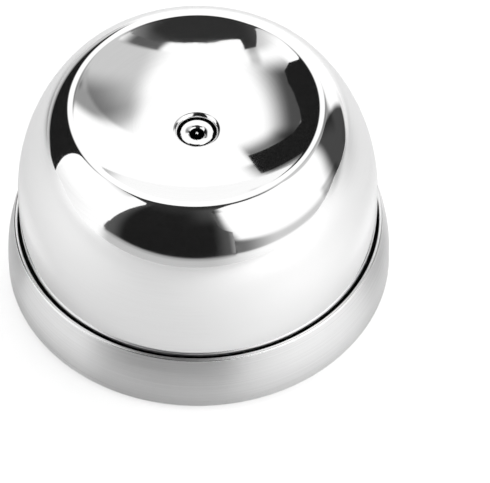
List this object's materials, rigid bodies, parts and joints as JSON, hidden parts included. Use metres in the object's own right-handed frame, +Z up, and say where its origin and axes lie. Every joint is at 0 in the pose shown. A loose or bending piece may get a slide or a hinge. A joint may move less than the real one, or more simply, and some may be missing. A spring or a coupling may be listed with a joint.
{
  "type": "egg piercer",
  "caption": "Round steel egg piercer: a polished dome with a dished egg seat slides down on a sprung base ring, so that a fixed needle pricks the egg through the hole in the dish.",
  "frame": {"origin": "on the axis, on the surface that the foot ring stands on", "axes": "+Z up along the axis, from the foot ring towards the dish; X and Y lie in the surface"},
  "size_m": [0.064, 0.064, 0.0392],
  "materials": {
    "polished_steel": "mirror polish",
    "brushed_ring": "brushed round the axis",
    "plated_steel": "zinc plated",
    "black_plastic": "moulded, matt",
    "white_nylon": "moulded",
    "black_rubber": "matt",
    "brass": "turned"
  },
  "bodies": {
    "base": {"base_ring": "brushed_ring", "base_floor": "black_plastic", "glide_ring": "black_plastic", "bottom_cover": "black_plastic", "foot_ring": "black_rubber", "cover_screws": "plated_steel", "needle_post": "plated_steel", "needle": "polished_steel", "needle_set_screw": "plated_steel", "post_washer": "plated_steel", "post_nut": "plated_steel", "lower_spring_seat": "plated_steel", "return_spring": "plated_steel"},
    "dome": {"dome_shell": "polished_steel", "needle_bush": "polished_steel", "dome_carrier": "black_plastic", "guide_sleeve": "brass", "upper_spring_seat": "plated_steel", "guide_screws": "plated_steel", "stop_washers": "white_nylon"}
  },
  "joints": [
    {"name": "dome_press", "type": "slide", "parent": "base", "child": "dome", "axis": [0, 0, -1], "range_m": [0, 0.005], "stiffness_N_per_m": 685, "springref_m": -0.0055, "deforming": ["return_spring"]}
  ]
}
